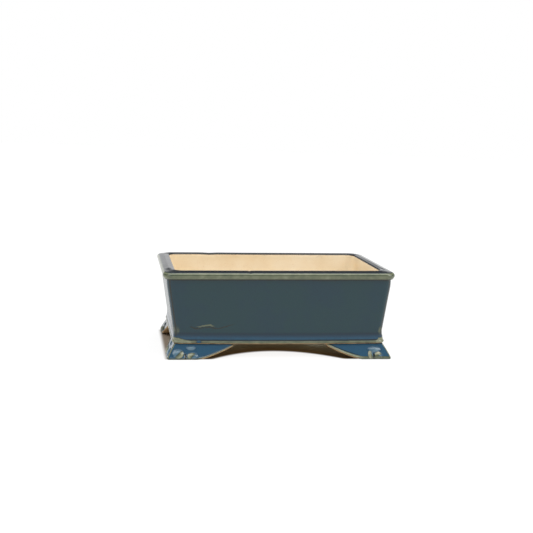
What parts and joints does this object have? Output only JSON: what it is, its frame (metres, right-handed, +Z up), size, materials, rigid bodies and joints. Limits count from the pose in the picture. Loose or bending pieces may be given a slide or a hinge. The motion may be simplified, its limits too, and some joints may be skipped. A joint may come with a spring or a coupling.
{
  "type": "bonsai pot",
  "caption": "Rectangular glazed stoneware bonsai pot with leaning walls, flat rim, base moulding, flared corner feet, screened drain holes and tie-wire holes.",
  "frame": {"origin": "middle of the footprint, on the plane of the soles", "axes": "+X along the pot's length towards its right, +Y along its width towards the back, +Z up"},
  "size_m": [0.255, 0.156, 0.098],
  "materials": {
    "bare_clay": "unglazed stoneware, cream to tan, matt and slightly gritty",
    "wall_glaze": "glossy slate blue glaze outside, thin and olive along the upright corners; bare cream clay inside",
    "rim_glaze": "glossy glaze, navy on the flat top and breaking to olive on the face and edges",
    "moulding_glaze": "glossy glaze, deep blue where it pools above and breaking to pale olive on the nose",
    "foot_glaze": "glossy blue glaze, pale olive on the carved crests, bare tan clay under the lower edge",
    "screen_plastic": "black moulded mesh",
    "clip_wire": "soft drawn wire, satin"
  },
  "bodies": {
    "root": {"floor_slab": "bare_clay", "front_wall": "wall_glaze", "back_wall": "wall_glaze", "left_wall": "wall_glaze", "right_wall": "wall_glaze", "front_rim": "rim_glaze", "back_rim": "rim_glaze", "left_rim": "rim_glaze", "right_rim": "rim_glaze", "front_moulding": "moulding_glaze", "back_moulding": "moulding_glaze", "left_moulding": "moulding_glaze", "right_moulding": "moulding_glaze", "front_left_foot": "foot_glaze", "front_right_foot": "foot_glaze", "back_left_foot": "foot_glaze", "back_right_foot": "foot_glaze", "left_drain_screen": "screen_plastic", "right_drain_screen": "screen_plastic", "left_screen_clip": "clip_wire", "right_screen_clip": "clip_wire"}
  },
  "joints": []
}
